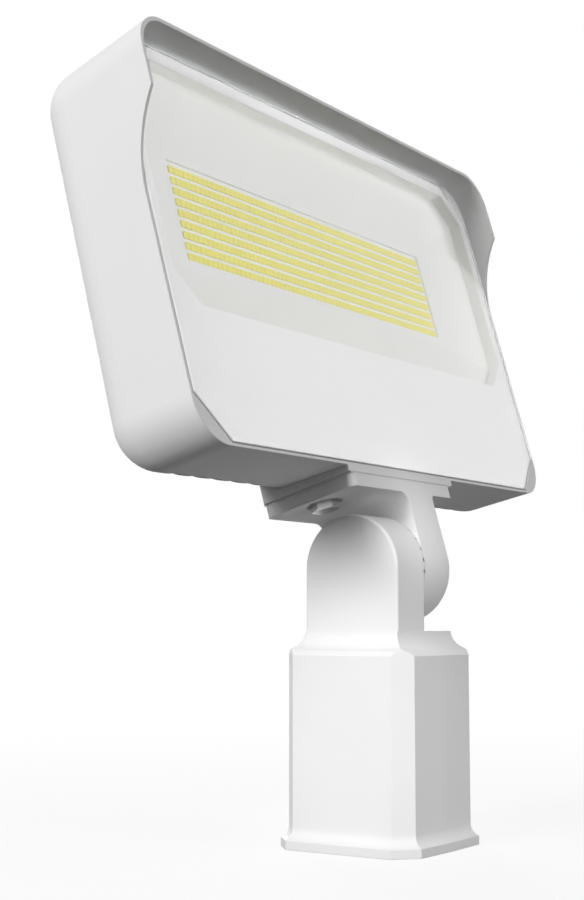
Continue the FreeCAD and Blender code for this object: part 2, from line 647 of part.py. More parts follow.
def board_sheet(front, back):
    """A sheet of the board's outline with the board's screw holes."""
    sheet = box((-BOARD_HALF_WIDTH, BOARD_HALF_WIDTH), (front, back), (BOARD_BOTTOM, BOARD_TOP))
    holes = [clearance_hole(x, z, front, back, M3) for x, z in board_screw_places()]
    return sheet.cut(Part.makeCompound(holes))


def led_board():
    return board_sheet(BOARD_FRONT, BOARD_FRONT + BOARD_THICKNESS)


def thermal_pad():
    return board_sheet(BOARD_FRONT + BOARD_THICKNESS, MOUNT_FLOOR)


def led_chips():
    chips = []
    for row in range(LED_ROWS):
        z = LED_FIELD_MIDDLE + (row - (LED_ROWS - 1) / 2) * LED_ROW_PITCH
        for column in range(LED_COLUMNS):
            x = (column - (LED_COLUMNS - 1) / 2) * LED_PITCH
            chips.append(box(
                (x - LED_WIDTH / 2, x + LED_WIDTH / 2), (BOARD_FRONT - LED_THICKNESS, BOARD_FRONT),
                (z - LED_HEIGHT / 2, z + LED_HEIGHT / 2)))
    return Part.makeCompound(chips)


def board_screws():
    screws = [pan_screw(x, z, BOARD_FRONT, BOARD_SCREW_LENGTH, M3) for x, z in board_screw_places()]
    return Part.makeCompound(screws)


# Driver and wiring

def driver_case():
    outside = box(
        (DRIVER_LEFT, DRIVER_RIGHT), (DRIVER_FRONT, DRIVER_CHAMBER_DEPTH), (DRIVER_BOTTOM, DRIVER_TOP))
    inside = box(
        (DRIVER_LEFT + DRIVER_WALL, DRIVER_RIGHT - DRIVER_WALL), (DRIVER_FRONT - CUT_PAST, DRIVER_BOARD_BACK),
        (DRIVER_BOTTOM + DRIVER_WALL, DRIVER_TOP - DRIVER_WALL))
    case = outside.cut(inside)
    for x, z in driver_screw_places():
        ear = box(
            (x - DRIVER_EAR / 2, x + DRIVER_EAR / 2), (DRIVER_BOARD_BACK, DRIVER_CHAMBER_DEPTH),
            (z - DRIVER_EAR_HALF_HEIGHT, z + DRIVER_EAR_HALF_HEIGHT))
        case = case.fuse(ear).cut(clearance_hole(x, z, DRIVER_BOARD_BACK, DRIVER_CHAMBER_DEPTH, M4))
    for start, end in board_lead_runs() + driver_lead_runs():
        case = case.cut(rod(LEAD_RADIUS + SEAT_GAP, start, end))
    return case


def driver_lid():
    return box(
        (DRIVER_LEFT, DRIVER_RIGHT), (DRIVER_FRONT - DRIVER_WALL, DRIVER_FRONT), (DRIVER_BOTTOM, DRIVER_TOP))


def driver_board():
    return box(
        (DRIVER_LEFT + DRIVER_BOARD_INSET, DRIVER_RIGHT - DRIVER_BOARD_INSET),
        (DRIVER_BOARD_FRONT, DRIVER_BOARD_BACK),
        (DRIVER_BOTTOM + DRIVER_BOARD_INSET, DRIVER_TOP - DRIVER_BOARD_INSET))


def driver_transformer():
    """A ferrite core round a wound coil former, in one piece."""
    x = (DRIVER_LEFT + DRIVER_RIGHT) / 2
    coil_half_height = CORE_HALF_HEIGHT + COIL_OVERHANG
    core = box(
        (x - CORE_HALF_WIDTH, x + CORE_HALF_WIDTH), (DRIVER_BOARD_FRONT - CORE_DEPTH, DRIVER_BOARD_FRONT),
        (DRIVER_MIDDLE - CORE_HALF_HEIGHT, DRIVER_MIDDLE + CORE_HALF_HEIGHT))
    coil = box(
        (x - COIL_HALF_WIDTH, x + COIL_HALF_WIDTH),
        (DRIVER_BOARD_FRONT - CORE_DEPTH - COIL_OVERHANG, DRIVER_BOARD_FRONT),
        (DRIVER_MIDDLE - coil_half_height, DRIVER_MIDDLE + coil_half_height))
    long_edges = [e for e in coil.Edges if e.BoundBox.XLength > COIL_HALF_WIDTH]
    return core.fuse(coil.makeFillet(COIL_ROUND, long_edges))


def driver_capacitors():
    cans = []
    front = DRIVER_BOARD_FRONT - CAPACITOR_HEIGHT
    for k in range(2):
        x = DRIVER_LEFT + CAPACITOR_INSET + k * CAPACITOR_PITCH
        can = rod(CAPACITOR_RADIUS, (x, front, DRIVER_MIDDLE), (x, DRIVER_BOARD_FRONT, DRIVER_MIDDLE))
        rim = [e for e in can.Edges if e.BoundBox.YMax < front + CAPACITOR_ROUND]
        cans.append(can.makeFillet(CAPACITOR_ROUND, rim))
    return Part.makeCompound(cans)


def driver_screws():
    screws = [pan_screw(x, z, DRIVER_BOARD_BACK, DRIVER_SCREW_LENGTH, M4) for x, z in driver_screw_places()]
    return Part.makeCompound(screws)


def board_lead_runs():
    """Start and end of the two wires from the driver to the solder pads on the board's lower edge."""
    depth = BOARD_FRONT - LEAD_RADIUS
    low = DRIVER_TOP - DRIVER_WALL - LEAD_BITE
    high = BOARD_BOTTOM + BOARD_LEAD_BITE
    runs = []
    for k in range(2):
        x = DRIVER_RIGHT - BOARD_LEAD_INSET - k * BOARD_LEAD_PITCH
        runs.append(((x, depth, low), (x, depth, high)))
    return runs


def driver_lead_runs():
    """Start and end of the three wires from the driver to the terminal block."""
    depth = DRIVER_CHAMBER_DEPTH - BLOCK_DEPTH / 2
    left = DRIVER_RIGHT - DRIVER_WALL - LEAD_BITE
    runs = []
    for step in (-1, 0, 1):
        z = BLOCK_MIDDLE_Z + DRIVER_LEAD_PITCH * step
        runs.append(((left, depth, z), (BLOCK_LEFT + DRIVER_LEAD_BITE, depth, z)))
    return runs


def board_leads():
    return Part.makeCompound([rod(LEAD_RADIUS, start, end) for start, end in board_lead_runs()])


def driver_leads():
    return Part.makeCompound([rod(LEAD_RADIUS, start, end) for start, end in driver_lead_runs()])


def terminal_block():
    block = box((BLOCK_LEFT, BLOCK_RIGHT), (BLOCK_FRONT, DRIVER_CHAMBER_DEPTH), (BLOCK_BOTTOM, BLOCK_TOP))
    x, z = BLOCK_MIDDLE_X, BLOCK_MIDDLE_Z
    seat = DRIVER_CHAMBER_DEPTH - BLOCK_BASE
    well = rod(PAN_HEAD_RADIUS_RATIO * M4 + BOLT_CLEARANCE, (x, BLOCK_FRONT - CUT_PAST, z), (x, seat, z))
    block = block.cut(well).cut(clearance_hole(x, z, seat, DRIVER_CHAMBER_DEPTH, M4))
    for start, end in driver_lead_runs():
        depth, height = start[1], start[2]
        way_end = (BLOCK_RIGHT - BLOCK_WAY_DEPTH, depth, height)
        block = block.cut(rod(LEAD_RADIUS + SEAT_GAP, start, end))
        block = block.cut(rod(BLOCK_WAY_RADIUS, way_end, (BLOCK_RIGHT + CUT_PAST, depth, height)))
    return block


def block_screw():
    seat = DRIVER_CHAMBER_DEPTH - BLOCK_BASE
    return pan_screw(BLOCK_MIDDLE_X, BLOCK_MIDDLE_Z, seat, BLOCK_SCREW_LENGTH, M4)


def earth_screw():
    return pan_screw(EARTH_SCREW_X, BLOCK_MIDDLE_Z, DRIVER_CHAMBER_DEPTH, EARTH_SCREW_LENGTH, M4)


def wire_grommet():
    low = (WIRE_X, AXIS_BEHIND_GLASS, PAD_BOTTOM)
    floor = (WIRE_X, AXIS_BEHIND_GLASS, CHAMBER_BOTTOM)
    high = (WIRE_X, AXIS_BEHIND_GLASS, CHAMBER_BOTTOM + GROMMET_LIP_HEIGHT)
    bush = rod(GROMMET_RADIUS - SEAT_GAP, low, floor).fuse(rod(GROMMET_RADIUS + GROMMET_LIP, floor, high))
    return bush.cut(rod(GROMMET_HOLE_RADIUS, low, high))


# Knuckle pieces, about the tilt axis

def arch(x, width, straight, up):
    """A plate with one round end about the tilt axis and straight sides, up or down."""
    end = straight if up else -straight
    tip = -KNUCKLE_RADIUS if up else KNUCKLE_RADIUS
    near, far = -KNUCKLE_RADIUS, KNUCKLE_RADIUS
    outline = Part.Wire([
        Part.makeLine(Vec(x, near, end), Vec(x, near, 0)),
        Part.Arc(Vec(x, near, 0), Vec(x, 0, tip), Vec(x, far, 0)).toShape(),
        Part.makeLine(Vec(x, far, 0), Vec(x, far, end)),
        Part.makeLine(Vec(x, far, end), Vec(x, near, end))])
    return Part.Face(outline).extrude(Vec(width, 0, 0))


def teeth(side, turn):
    """A ring of flat radial teeth that stand towards the middle plane, from the side given by its sign."""
    ring_teeth = []
    for k in range(TEETH):
        sections = []
        for radius in (TOOTH_INNER_RADIUS, TOOTH_OUTER_RADIUS):
            half = TOOTH_FILL * radius * math.tan(math.pi / TEETH)
            root, base, tip = side * (TOOTH_BASE + TOOTH_ROOT), side * TOOTH_BASE, side * TOOTH_TIP
            outline = [
                Vec(root, -half, radius), Vec(base, -half, radius), Vec(tip, -TOOTH_LAND * half, radius),
                Vec(tip, TOOTH_LAND * half, radius), Vec(base, half, radius), Vec(root, half, radius)]
            sections.append(Part.makePolygon(outline + outline[:1]))
        tooth = Part.makeLoft(sections, True, True)
        tooth.rotate(Vec(0, 0, 0), Vec(1, 0, 0), turn + 360 / TEETH * k)
        ring_teeth.append(tooth)
    return ring_teeth


def bracket_flange():
    block = box(
        (-BRACKET_HALF_WIDTH, BRACKET_HALF_WIDTH), (-KNUCKLE_RADIUS, KNUCKLE_RADIUS),
        (BRACKET_UNDERSIDE, BRACKET_FACE))
    front = [e for e in block.Edges if e.BoundBox.ZLength > 1 and e.BoundBox.YMax < 0]
    block = block.makeFillet(BRACKET_FRONT_CORNER, front)
    rear = [e for e in block.Edges if e.BoundBox.ZLength > 1 and e.BoundBox.YMin > 1]
    return block.makeFillet(BRACKET_REAR_CORNER, rear)


def blend_ear_root(body, x, radius):
    """Round the inside corner between the ear's face at x and the flange above it."""
    def lies_on_root(edge):
        b = edge.BoundBox
        level = max(abs(b.ZMin - BRACKET_UNDERSIDE), abs(b.ZMax - BRACKET_UNDERSIDE))
        return level < SEAT_GAP and max(abs(b.XMin - x), abs(b.XMax - x)) < SEAT_GAP

    return body.makeFillet(radius, [e for e in body.Edges if lies_on_root(e)])


def bracket():
    ear = arch(TOOTH_BASE, EAR_OUTER_X - TOOTH_BASE, (BRACKET_UNDERSIDE + BRACKET_FACE) / 2, True)
    body = bracket_flange().fuse(ear).removeSplitter()
    body = blend_ear_root(body, TOOTH_BASE, EAR_BLEND_LARGE)
    body = blend_ear_root(body, EAR_OUTER_X, EAR_BLEND_SMALL)
    body = body.cut(rod(KNUCKLE_CAVITY_RADIUS, (0, 0, 0), (KNUCKLE_CAVITY_DEPTH, 0, 0)))
    body = body.cut(rod(M10 + BOLT_CLEARANCE, (0, 0, 0), (EAR_OUTER_X + CUT_PAST, 0, 0)))
    body = body.cut(rod(WIRE_RADIUS, (WIRE_X, 0, 0), (WIRE_X, 0, BRACKET_FACE + CUT_PAST)))
    for x in (-BRACKET_BOLT_X, BRACKET_BOLT_X):
        low = (x, 0, BRACKET_UNDERSIDE - CUT_PAST)
        body = body.cut(rod(M8 + BOLT_CLEARANCE, low, (x, 0, BRACKET_FACE + CUT_PAST)))
        body = body.cut(rod(BRACKET_RECESS_RADIUS, low, (x, 0, BRACKET_HEAD_TOP)))
    return body.multiFuse(teeth(1, 0))


def bracket_gasket():
    half_width = BRACKET_HALF_WIDTH - BRACKET_GASKET_INSET
    half_depth = KNUCKLE_RADIUS - BRACKET_GASKET_INSET
    sheet = box((-half_width, half_width), (-half_depth, half_depth), (BRACKET_FACE, PAD_FACE))
    bolt_hole = M8 + BOLT_CLEARANCE
    for x, radius in ((-BRACKET_BOLT_X, bolt_hole), (BRACKET_BOLT_X, bolt_hole), (WIRE_X, WIRE_RADIUS)):
        sheet = sheet.cut(rod(radius, (x, 0, BRACKET_FACE - CUT_PAST), (x, 0, PAD_FACE + CUT_PAST)))
    return sheet


def spring_washer(outer, inner, start, end):
    """A ring along X with one slanted slit at its top."""
    length = end[0] - start[0]
    slit = Part.makeBox(2 * length, SPRING_WASHER_SLIT, 2 * outer, Vec(-length, -SPRING_WASHER_SLIT / 2, 0))
    slit.rotate(Vec(0, 0, 0), Vec(0, 0, 1), SPRING_WASHER_SLANT)
    slit.translate(Vec(start[0] + length / 2, 0, 0))
    return ring(outer, inner, start, end).cut(slit)


def bracket_bolts():
    bolts = []
    for x in (-BRACKET_BOLT_X, BRACKET_BOLT_X):
        seat = (x, 0, BRACKET_HEAD_TOP)
        head = hex_head(M8_HEAD_WIDTH, seat, (x, 0, BRACKET_HEAD_TOP - M8_HEAD_THICKNESS))
        bolts.append(head.fuse(rod(M8, seat, (x, 0, PAD_FACE + PAD_THREAD_DEPTH - THREAD_END_GAP))))
    return Part.makeCompound(bolts)


def knuckle_bolt():
    seat = (KNUCKLE_HEAD_FACE, 0, 0)
    head = hex_head(M10_HEAD_WIDTH, seat, (KNUCKLE_HEAD_FACE + M10_HEAD_THICKNESS, 0, 0))
    return head.fuse(rod(M10, (KNUCKLE_BOLT_END, 0, 0), seat))


def knuckle_washer():
    return ring(WASHER_RADIUS, M10 + SCREW_CLEARANCE, (WASHER_FACE, 0, 0), (SPRING_FACE, 0, 0))


def knuckle_spring_washer():
    return spring_washer(
        SPRING_WASHER_RADIUS, M10 + SCREW_CLEARANCE, (SPRING_FACE, 0, 0), (KNUCKLE_HEAD_FACE, 0, 0))


# Slip fitter

def fitter_section(half_width, corner, height):
    """A square with cut corners, its front and back faces crowned along the parting line at X = 0."""
    edge = half_width - FITTER_CROWN
    points = [
        (0, -half_width), (half_width - corner, -edge), (half_width, -half_width + corner),
        (half_width, half_width - corner), (half_width - corner, edge), (0, half_width),
        (-half_width + corner, edge), (-half_width, half_width - corner),
        (-half_width, -half_width + corner), (-half_width + corner, -edge),
    ]
    corners = [Vec(x, y, height) for x, y in points]
    return Part.makePolygon(corners + corners[:1])


def fitter_prism(half_width, corner, low, high):
    return Part.Face(fitter_section(half_width, corner, low)).extrude(Vec(0, 0, high - low))


def fitter_sides(level):
    """Each side of the tube: its middle, its direction, the way out from it and whether it cuts a corner."""
    points = [v.Point for v in fitter_section(FITTER_HALF_WIDTH, FITTER_CORNER, level).Vertexes]
    sides = []
    for a, b in zip(points, points[1:] + points[:1]):
        along = (b - a).normalize()
        outward = Vec(along.y, -along.x, 0)
        is_corner = min(abs(along.x), abs(along.y)) > 0.5
        sides.append(((a + b) * 0.5, along, outward, is_corner))
    return sides


def flange():
    """The bottom flange with its hollow flare up to the straight tube."""
    radius = (FITTER_FLANGE ** 2 + FLANGE_FLARE_HEIGHT ** 2) / (2 * FITTER_FLANGE)
    wide_corner = FITTER_CORNER + CORNER_GROWTH * FITTER_FLANGE
    block = fitter_prism(FITTER_HALF_WIDTH + FITTER_FLANGE, wide_corner, 0, FLANGE_FLARE_TOP)
    for middle, along, outward, _ in fitter_sides(FLANGE_FLARE_TOP):
        centre = middle + outward * radius
        reach = along * SIDE_REACH
        block = block.cut(rod(radius, centre - reach, centre + reach))
    return block


def shoulder():
    """The hollow shoulder from the tube's bevelled top edge in to the arm and the ledge beside it."""
    block = fitter_prism(FITTER_HALF_WIDTH, FITTER_CORNER, TUBE_TOP - CUT_PAST, SHOULDER_TOP)
    bevel_foot = Vec(0, 0, TUBE_TOP - CUT_PAST - SHOULDER_TOP)
    bevel_level = Vec(0, 0, BEVEL_TOP - SHOULDER_TOP)
    for middle, along, outward, is_corner in fitter_sides(SHOULDER_TOP):
        if is_corner:
            continue
        reach = along * SIDE_REACH
        block = block.cut(rod(SHOULDER_RADIUS, middle - reach, middle + reach))
        start = middle - reach
        past = start + outward * CUT_PAST
        corners = [start - outward * SHOULDER_BEVEL + bevel_level, past + bevel_foot, past + bevel_level]
        block = block.cut(Part.Face(Part.makePolygon(corners + corners[:1])).extrude(reach * 2))
    return block


def arm():
    """The plate with a round top that carries the knuckle, sunk a little into the shoulder."""
    plate = arch(ARM_OUTER_X, -TOOTH_BASE - ARM_OUTER_X, SHOULDER_BELOW_AXIS + SHOULDER_RADIUS / 2, False)
    outer = [e for e in plate.Edges
             if e.BoundBox.XMax < ARM_OUTER_X + SEAT_GAP and e.BoundBox.ZMax > -SHOULDER_BELOW_AXIS]
    plate = plate.makeFillet(ARM_EDGE, outer)
    plate.translate(Vec(0, 0, KNUCKLE_HEIGHT))
    return plate


def slip_fitter():
    tube = fitter_prism(FITTER_HALF_WIDTH, FITTER_CORNER, FLANGE_FLARE_TOP, TUBE_TOP)
    body = flange().fuse(tube)
    body = body.fuse(shoulder())
    body = body.fuse(arm()).removeSplitter()
    body = body.cut(rod(SOCKET_RADIUS, (0, 0, -CUT_PAST), (0, 0, SOCKET_DEPTH)))
    axis = KNUCKLE_HEIGHT
    body = body.cut(rod(WIRE_RADIUS, (-WIRE_X, 0, SOCKET_DEPTH - CUT_PAST), (-WIRE_X, 0, axis)))
    body = body.cut(rod(KNUCKLE_CAVITY_RADIUS, (0, 0, axis), (-KNUCKLE_CAVITY_DEPTH, 0, axis)))
    body = body.cut(rod(M10 + THREAD_GAP, (0, 0, axis), (KNUCKLE_BOLT_END - THREAD_END_GAP, 0, axis)))
    outside = FITTER_HALF_WIDTH + CUT_PAST
    for height in TENON_SCREW_HEIGHTS.values():
        body = body.cut(rod(TENON_SCREW_RADIUS + THREAD_GAP, (0, 0, height), (outside, 0, height)))
    ring_teeth = teeth(-1, -TILT_BACK)
    for tooth in ring_teeth:
        tooth.translate(Vec(0, 0, axis))
    return body.multiFuse(ring_teeth)


TENON_SCREW_HEIGHTS = {"lower": TENON_SCREW_LOWER_HEIGHT, "upper": TENON_SCREW_UPPER_HEIGHT}


def tenon_screw(height):
    """A hex-head screw through the +X wall, backed off so that its tip just clears the socket."""
    head_face = FITTER_HALF_WIDTH + TENON_SCREW_HEAD_GAP
    neck = TENON_SCREW_TIP + TENON_SCREW_POINT
    shank = rod(TENON_SCREW_RADIUS, (neck, 0, height), (head_face, 0, height))
    point = Part.makeCone(
        TENON_SCREW_RADIUS - TENON_SCREW_POINT, TENON_SCREW_RADIUS, TENON_SCREW_POINT,
        Vec(TENON_SCREW_TIP, 0, height), Vec(1, 0, 0))
    head_end = head_face + TENON_SCREW_HEAD_THICKNESS
    head = hex_head(TENON_SCREW_HEAD_WIDTH, (head_face, 0, height), (head_end, 0, height))
    return shank.fuse(point).fuse(head)


HEAD_PIECES = [
    housing, lens_glass, lens_print, lens_gasket, reflector, reflector_screws, led_board, thermal_pad,
    led_chips, board_screws, driver_case, driver_lid, driver_board, driver_transformer, driver_capacitors,
    driver_screws, board_leads, driver_leads, terminal_block, block_screw, earth_screw, wire_grommet,
]
TILTED_KNUCKLE_PIECES = [bracket, bracket_gasket, bracket_bolts]
UPRIGHT_KNUCKLE_PIECES = [knuckle_bolt, knuckle_washer, knuckle_spring_washer]


def export(name, shape):
    shape.exportStep("parts/" + name + ".step")


def build():
    os.makedirs("parts", exist_ok=True)
    for make in HEAD_PIECES:
        export(make.__name__, place_head(make()))
    for make in TILTED_KNUCKLE_PIECES:
        export(make.__name__, place_knuckle(make()))
    for make in UPRIGHT_KNUCKLE_PIECES:
        piece = make()
        piece.translate(Vec(0, 0, KNUCKLE_HEIGHT))
        export(make.__name__, piece)
    export("slip_fitter", slip_fitter())
    for where, height in TENON_SCREW_HEIGHTS.items():
        export("tenon_screw_" + where, tenon_screw(height))


build()
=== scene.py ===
import bpy
import bmesh
import math
from mathutils import Matrix, Vector

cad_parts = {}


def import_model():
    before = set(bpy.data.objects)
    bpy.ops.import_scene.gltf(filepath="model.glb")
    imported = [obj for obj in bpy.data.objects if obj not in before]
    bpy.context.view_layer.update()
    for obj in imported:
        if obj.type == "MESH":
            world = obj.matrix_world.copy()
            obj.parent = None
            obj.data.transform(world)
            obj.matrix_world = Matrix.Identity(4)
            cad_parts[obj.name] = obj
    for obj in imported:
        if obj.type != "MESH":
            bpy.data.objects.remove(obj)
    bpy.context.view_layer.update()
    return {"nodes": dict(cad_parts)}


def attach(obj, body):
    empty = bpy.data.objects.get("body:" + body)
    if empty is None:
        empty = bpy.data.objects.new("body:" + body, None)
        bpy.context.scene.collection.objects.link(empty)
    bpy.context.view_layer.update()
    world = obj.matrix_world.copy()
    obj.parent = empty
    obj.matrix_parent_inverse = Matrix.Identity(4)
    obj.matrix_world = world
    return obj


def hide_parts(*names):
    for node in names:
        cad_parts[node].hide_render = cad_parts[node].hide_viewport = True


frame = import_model()
nodes = frame["nodes"]

# The light in metres, +Z up, facing -Y
# Head pieces are drawn upright, about the middle of the glass plane, and then tilted
MM = 0.001
TILT_BACK = math.radians(15.9)
KNUCKLE_HEIGHT = 141.0 * MM
AXIS_BEHIND_GLASS = 27.6 * MM
AXIS_BELOW_GLASS_MIDDLE = 148.0 * MM

# Light emitters on the board
BOARD_FRONT = 20.5 * MM
LED_ROWS = 9
LED_COLUMNS = 63
LED_ROW_PITCH = 5.9 * MM
LED_PITCH = 3.9 * MM
LED_HALF_WIDTH = 1.8 * MM
LED_HALF_HEIGHT = 1.95 * MM
LED_THICKNESS = 0.7 * MM
LED_FIELD_MIDDLE = 25.8 * MM
LED_EDGE = 0.08 * MM
LED_CORNER = 0.2 * MM

# Soft edges on the castings and the metal pieces
EDGE_SAMPLES = 6
CASTING_EDGE = 0.6 * MM
METAL_EDGE = 0.2 * MM

# Range that most of a noise texture's values fall in
NOISE_LOW = 0.3
NOISE_HIGH = 0.7

# How far grain takes the roughness below and above its middle value
GRAIN_SMOOTHER = 0.06
METAL_GRAIN_ROUGHER = 0.1
PLASTIC_GRAIN_ROUGHER = 0.08

# Gap that keeps the print's faces off the glass
PRINT_GAP = 0.02 * MM

# Ground edge of the glass: the glass's own outline, its bevel, and the film of the grinding on both
GLASS_HALF_WIDTH = 170.5 * MM
GLASS_TOP = 101.4 * MM
GLASS_BOTTOM = -102.0 * MM
GLASS_CORNER = 21.3 * MM
GLASS_FRONT = -0.6 * MM
GLASS_BACK = 2.6 * MM
GLASS_BEVEL = 0.35 * MM
GROUND_NEAR = 0.02 * MM
GROUND_FAR = 0.05 * MM
CORNER_GROWTH = 2 - math.sqrt(2)

# Camera, set to the angle and lens that the photograph was taken with
CAMERA_PLACE = (-0.7064, -0.4192, 0.1123)
CAMERA_RISE = math.radians(6.37)
CAMERA_TURN = math.radians(-56.15)
CAMERA_LENS = 62.58
CAMERA_SENSOR = 36.0
CAMERA_NEAR = 0.01
CAMERA_LEVEL = math.radians(90.0)

# Floor, and the white that it shows
FLOOR_REACH = 30.0
FLOOR_SIDES = 64
FLOOR_TONE = 0.08
FLOOR_SHOWN_TONE = 0.9
FLOOR_GLOW_NEAR = 0.85
FLOOR_FADE_NEAR = 0.1
FLOOR_FADE_FAR = 1.0

# Dome of light: the tones of its top and its rim
SKY_TOP = 0.35
SKY_RIM = 0.35

# Diffuse depth from which a ray counts as having left a matt surface
MATT_DEPTH = 0.5

# Soft lamps: place, size, power
LAMP_TARGET = (0.0, 0.0, 0.2)
LAMPS = {
    "key": ((-2.38, 0.21, 0.88), 0.85, 42.0),
    "front": ((0.0, -2.46, 0.58), 1.0, 18.0),
    "back": ((1.75, 1.75, 0.9), 1.0, 30.0),
}

# Narrow spots: place, target, cone in degrees, power
SPOT_SIZE = 0.02
SPOTS = {
    "base": ((-1.96, -1.13, 1.21), (0.0, 0.0, 0.045), 4.5, 90.0),
    "knuckle": ((-2.48, -0.35, 0.24), (0.005, -0.039, 0.166), 1.2, 260.0),
    "knuckle_front": ((-0.3, -2.45, 0.1), (0.0, -0.03, 0.160), 1.7, 66.0),
}

# Thin strips that light the window's top under the hood, drawn on the upright head
# Each has a place, target, spread in degrees, power
STRIP_LENGTH = 290.0 * MM
STRIP_WIDTH = 4.0 * MM
STRIPS = {
    "tray": ((0.0, -120.0 * MM, -10.0 * MM), (0.0, 2.0 * MM, 95.0 * MM), 7.0, 0.0075),
    "border": ((0.0, -120.0 * MM, 74.0 * MM), (0.0, 2.0 * MM, 98.0 * MM), 3.0, 0.054),
}


# Materials

class Surface:
    """A material with a Principled shader, and short ways to add texture to it."""

    def __init__(self, name, color, roughness, metallic=0.0):
        self.material = bpy.data.materials.new(name)
        self.material.use_nodes = True
        self.tree = self.material.node_tree
        self.shader = self.tree.nodes["Principled BSDF"]
        self.output = self.tree.nodes["Material Output"]
        self.color = color
        self.set("Base Color", (*color, 1.0))
        self.set("Roughness", roughness)
        self.set("Metallic", metallic)
        self.place = self.tree.nodes.new("ShaderNodeTexCoord").outputs["Object"]
        self.relief = None

    def set(self, socket, value):
        self.shader.inputs[socket].default_value = value

    def link(self, start, end):
        self.tree.links.new(start, end)

    def noise(self, scale, detail=3.0, stretch=(1.0, 1.0, 1.0)):
        """Noise with about this many grains per metre."""
        mapping = self.tree.nodes.new("ShaderNodeMapping")
        mapping.inputs["Scale"].default_value = stretch
        self.link(self.place, mapping.inputs["Vector"])
        texture = self.tree.nodes.new("ShaderNodeTexNoise")
        texture.inputs["Scale"].default_value = scale
        texture.inputs["Detail"].default_value = detail
        self.link(mapping.outputs["Vector"], texture.inputs["Vector"])
        return texture.outputs["Fac"]

    def spread(self, value, low, high):
        """Stretch a noise value so that it runs between two numbers."""
        ranged = self.tree.nodes.new("ShaderNodeMapRange")
        ranged.inputs["From Min"].default_value = NOISE_LOW
        ranged.inputs["From Max"].default_value = NOISE_HIGH
        ranged.inputs["To Min"].default_value = low
        ranged.inputs["To Max"].default_value = high
        self.link(value, ranged.inputs["Value"])
        return ranged.outputs["Result"]

    def vary_color(self, value, other):
        """Mix the base colour with another one by a noise value."""
        mix = self.tree.nodes.new("ShaderNodeMix")
        mix.data_type = "RGBA"
        mix.inputs["A"].default_value = (*self.color, 1.0)
        mix.inputs["B"].default_value = (*other, 1.0)
        self.link(self.spread(value, 0.0, 1.0), mix.inputs["Factor"])
        self.link(mix.outputs["Result"], self.shader.inputs["Base Color"])

    def vary_roughness(self, value, low, high):
        self.link(self.spread(value, low, high), self.shader.inputs["Roughness"])

    def soften_edges(self, radius):
        """Let light roll over sharp edges as if they were rounded by this radius."""
        bevel = self.tree.nodes.new("ShaderNodeBevel")
        bevel.samples = EDGE_SAMPLES
        bevel.inputs["Radius"].default_value = radius
        self.relief = bevel.outputs["Normal"]

    def bump(self, value, depth):
        """Add relief of this depth in metres on top of any relief added before."""
        bump = self.tree.nodes.new("ShaderNodeBump")
        bump.inputs["Strength"].default_value = 1.0
        bump.inputs["Distance"].default_value = depth
        self.link(value, bump.inputs["Height"])
        if self.relief:
            self.link(self.relief, bump.inputs["Normal"])
        self.relief = bump.outputs["Normal"]
        self.link(self.relief, self.shader.inputs["Normal"])


def white_casting():
    """Satin white powder coat: fine orange peel, with faint clouding."""
    coat = Surface("powder_coat_white", (0.80, 0.80, 0.80), 0.6)
    coat.set("Specular IOR Level", 0.12)
    coat.soften_edges(CASTING_EDGE)
    peel = coat.noise(700.0, 2.0)
    grain = coat.noise(2600.0, 2.0)
    cloud = coat.noise(22.0, 4.0)
    coat.vary_color(cloud, (0.785, 0.786, 0.785))
    coat.vary_roughness(peel, 0.55, 0.66)
    coat.bump(peel, 0.010 * MM)
    coat.bump(grain, 0.003 * MM)
    return coat.material


def clear_glass():
    """Clear glass that lets the lamps through, with faint dust in its gloss."""
    glass = Surface("clear_float_glass", (0.993, 0.996, 0.994), 0.0)
    glass.set("Transmission Weight", 1.0)
    glass.set("IOR", 1.5)
    glass.vary_roughness(glass.noise(90.0, 4.0), 0.0, 0.03)
    clear = glass.tree.nodes.new("ShaderNodeBsdfTransparent")
    path = glass.tree.nodes.new("ShaderNodeLightPath")
    mix = glass.tree.nodes.new("ShaderNodeMixShader")
    glass.link(path.outputs["Is Shadow Ray"], mix.inputs["Fac"])
    glass.link(glass.shader.outputs["BSDF"], mix.inputs[1])
    glass.link(clear.outputs["BSDF"], mix.inputs[2])
    glass.link(mix.outputs["Shader"], glass.output.inputs["Surface"])
    return glass.material


def ground_glass():
    """The frosted film that grinding leaves on an edge of glass."""
    film = Surface("ground_glass_edge", (0.86, 0.87, 0.86), 0.7)
    grit = film.noise(3000.0, 3.0)
    film.vary_color(grit, (0.82, 0.83, 0.82))
    film.vary_roughness(grit, 0.6, 0.8)
    film.bump(grit, 0.005 * MM)
    return film.material


def white_print():
    """Screen-printed enamel with fine specks."""
    enamel = Surface("white_enamel", (0.91, 0.91, 0.91), 0.5)
    speck = enamel.noise(1800.0, 2.0)
    enamel.vary_color(enamel.noise(30.0), (0.90, 0.902, 0.90))
    enamel.vary_roughness(speck, 0.45, 0.55)
    enamel.bump(speck, 0.002 * MM)
    return enamel.material


def seal_rubber():
    rubber = Surface("silicone_white", (0.76, 0.76, 0.75), 0.6)
    grain = rubber.noise(1500.0, 3.0)
    rubber.vary_color(rubber.noise(60.0), (0.72, 0.72, 0.715))
    rubber.vary_roughness(grain, 0.52, 0.68)
    rubber.bump(grain, 0.01 * MM)
    return rubber.material


def reflector_white():
    """Moulded white polycarbonate with a fine spark-eroded grain."""
    plastic = Surface("polycarbonate_white", (0.87, 0.87, 0.86), 0.45)
    grain = plastic.noise(1600.0, 3.0)
    plastic.vary_color(plastic.noise(40.0), (0.855, 0.855, 0.84))
    plastic.vary_roughness(grain, 0.40, 0.52)
    plastic.bump(grain, 0.004 * MM)
    return plastic.material


